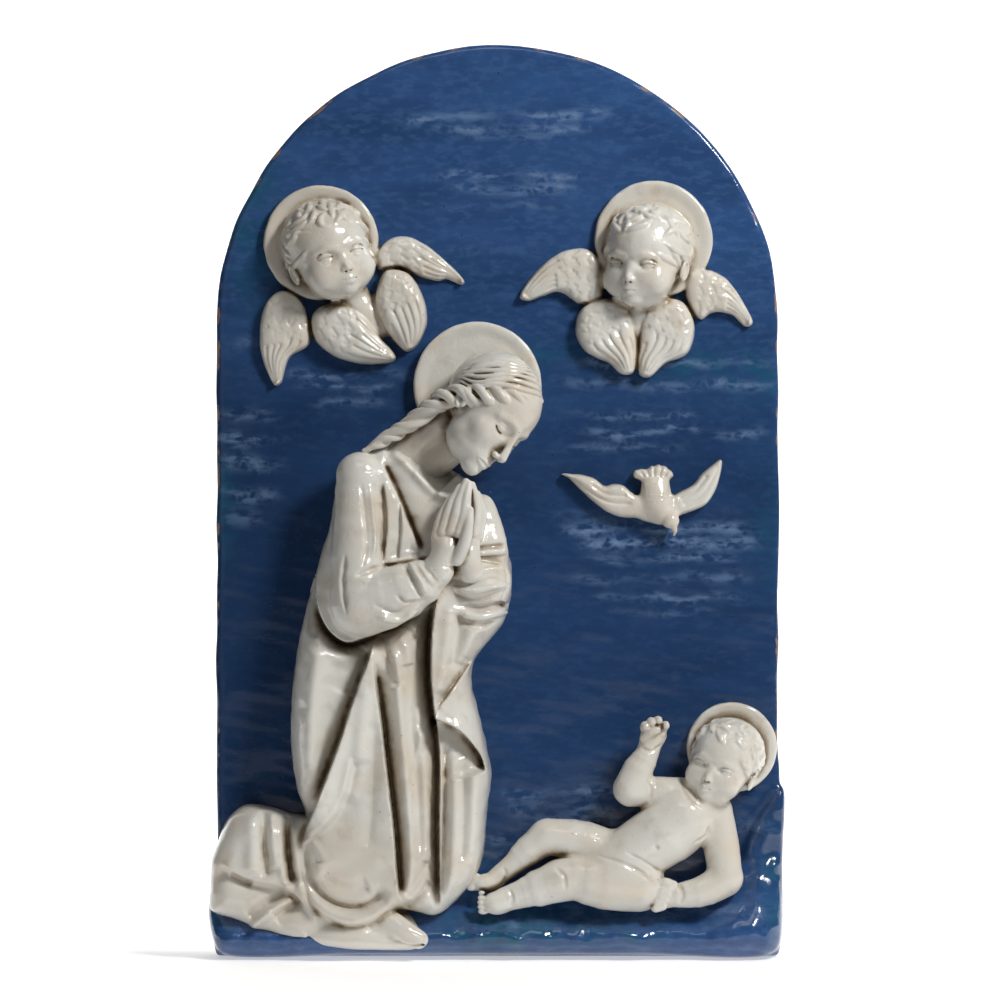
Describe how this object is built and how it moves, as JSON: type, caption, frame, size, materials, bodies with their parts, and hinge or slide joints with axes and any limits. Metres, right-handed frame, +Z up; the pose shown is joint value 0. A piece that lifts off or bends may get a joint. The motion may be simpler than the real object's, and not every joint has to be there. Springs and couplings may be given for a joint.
{
  "type": "decorative wall plaque",
  "caption": "Arched wall plaque of blue and white glazed earthenware with figures in relief: a kneeling woman at prayer, a reclining infant, winged child heads and a dove.",
  "frame": {"origin": "on the flat back, on the centre line, at half the panel's height", "axes": "+Z up, +X to the viewer's right, -Y out of the wall towards the viewer"},
  "size_m": [0.5773, 0.1332, 0.912],
  "materials": {
    "blue_glaze": "glossy cobalt blue tin glaze on fired clay, mottled, with pale streaks and worn brown edges",
    "white_glaze": "glossy off-white tin glaze on fired clay, browner in the hollows, with pits and specks"
  },
  "bodies": {
    "root": {"relief_plaque": "blue_glaze"}
  },
  "joints": []
}
